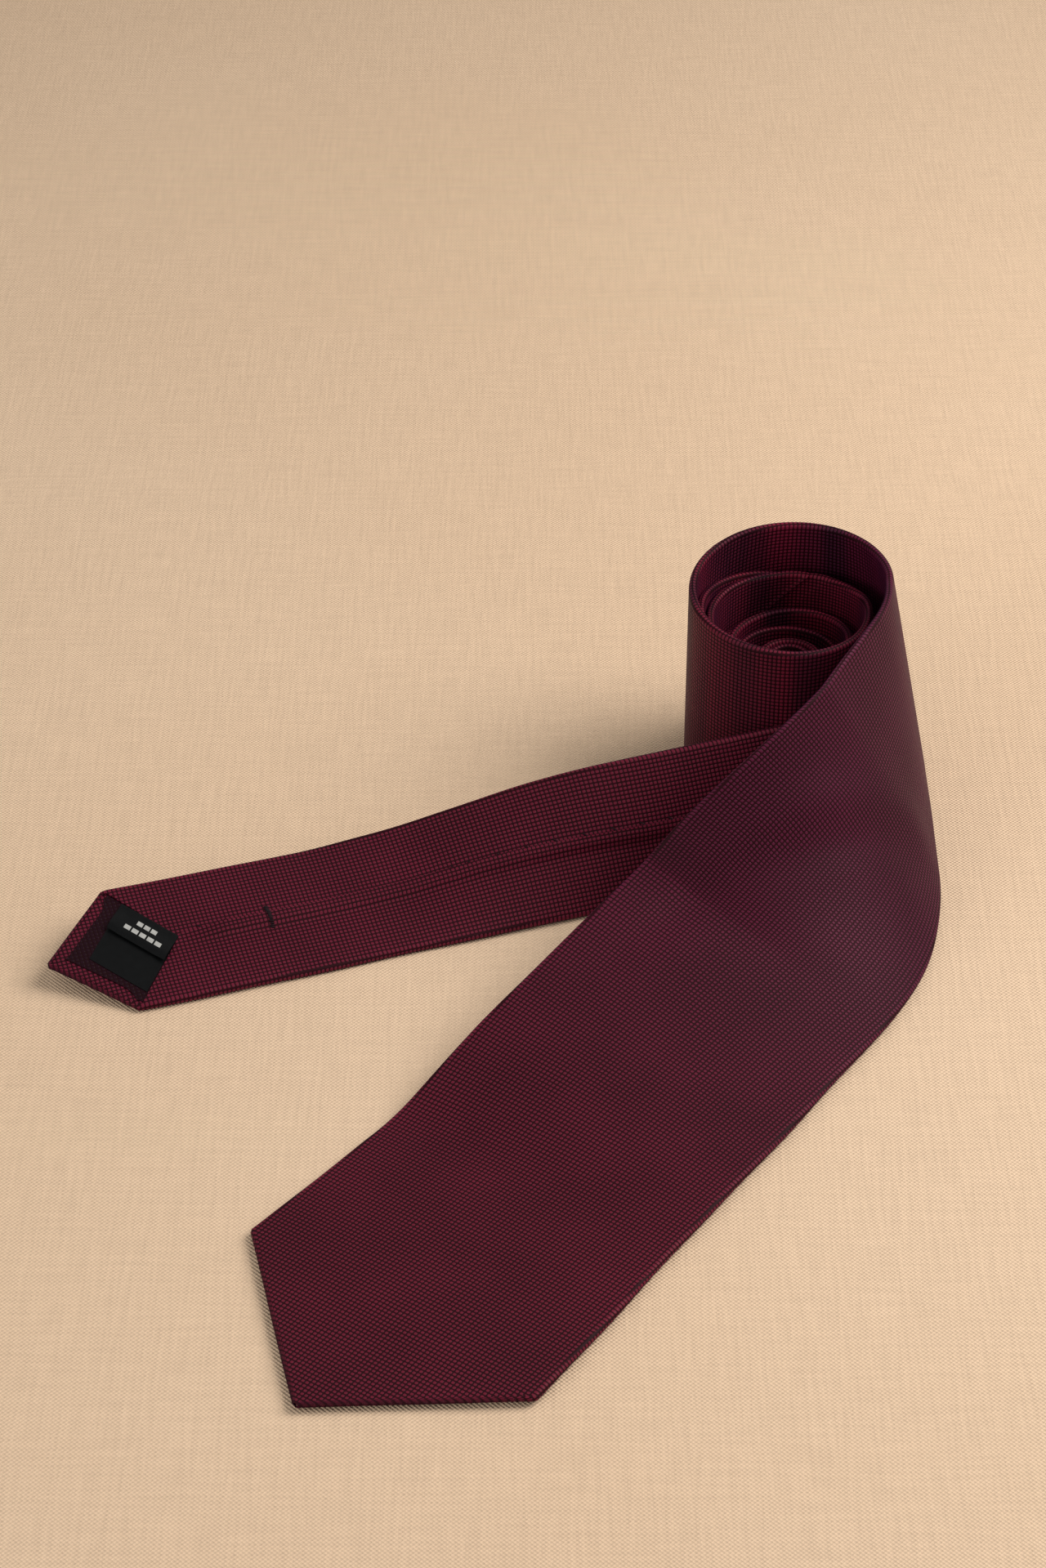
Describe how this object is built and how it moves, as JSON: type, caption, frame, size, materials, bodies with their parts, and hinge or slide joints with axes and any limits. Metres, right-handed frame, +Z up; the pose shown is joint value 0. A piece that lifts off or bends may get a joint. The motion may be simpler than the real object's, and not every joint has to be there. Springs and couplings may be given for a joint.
{
  "type": "necktie",
  "caption": "Necktie folded at its middle and coiled on edge, with its wide blade laid out good side up and its narrow tail laid out back side up.",
  "frame": {"origin": "where the axis of the coil meets the surface that the tie lies on", "axes": "+Z up, -Y towards the free ends of the tie, +X towards the side where the wide blade leaves the coil"},
  "size_m": [0.2146, 0.259, 0.06],
  "materials": {
    "dotted_cloth": "fine burgundy basket weave with small pale dots and a purple sheen",
    "tipping_cloth": "the same cloth, a shade darker, lining the ends",
    "wool_canvas": "off-white brushed canvas",
    "sewing_thread": "dark matt thread",
    "label_satin": "black satin ribbon"
  },
  "bodies": {
    "coil": {"coil_blade_cloth": "dotted_cloth", "coil_neck_cloth": "dotted_cloth", "coil_tail_cloth": "dotted_cloth", "coil_blade_interlining": "wool_canvas", "coil_tail_interlining": "wool_canvas"},
    "blade": {"blade_cloth": "dotted_cloth", "blade_interlining": "wool_canvas", "blade_slip_stitch": "sewing_thread", "keeper_loop": "dotted_cloth", "keeper_loop_tacks": "sewing_thread"},
    "blade_end": {"blade_end_cloth": "dotted_cloth", "blade_end_interlining": "wool_canvas", "blade_tipping": "tipping_cloth", "blade_end_slip_stitch": "sewing_thread", "blade_bar_tack": "sewing_thread"},
    "tail": {"tail_cloth": "dotted_cloth", "tail_interlining": "wool_canvas", "tail_slip_stitch": "sewing_thread"},
    "tail_end": {"tail_end_cloth": "dotted_cloth", "tail_end_interlining": "wool_canvas", "tail_tipping": "tipping_cloth", "tail_end_slip_stitch": "sewing_thread", "tail_bar_tack": "sewing_thread", "label_lower_leaf": "label_satin"},
    "label_leaf": {"label_upper_leaf": "label_satin"}
  },
  "joints": [
    {"name": "blade_swing", "type": "hinge", "parent": "coil", "child": "blade", "pos_m": [0.03687, -0.01, 0], "axis": [0, 0, 1], "range_deg": [0, 60]},
    {"name": "blade_end_fold", "type": "hinge", "parent": "blade", "child": "blade_end", "pos_m": [-0.06724, -0.16376, 0.00204], "axis": [-0.829, 0.5592, 0], "range_deg": [0, 135]},
    {"name": "tail_swing", "type": "hinge", "parent": "coil", "child": "tail", "pos_m": [-0.0243, -0.03349, 0], "axis": [0, 0, -1], "range_deg": [0, 60]},
    {"name": "tail_end_fold", "type": "hinge", "parent": "tail", "child": "tail_end", "pos_m": [-0.11479, -0.06602, 0.00664], "axis": [-0.3176, 0.9119, 0.2599], "range_deg": [0, 110]},
    {"name": "label_flip", "type": "hinge", "parent": "tail_end", "child": "label_leaf", "pos_m": [-0.15396, -0.07298, 0.00804], "axis": [-0.8437, 0.4977, 0.2011], "range_deg": [0, 110]}
  ]
}
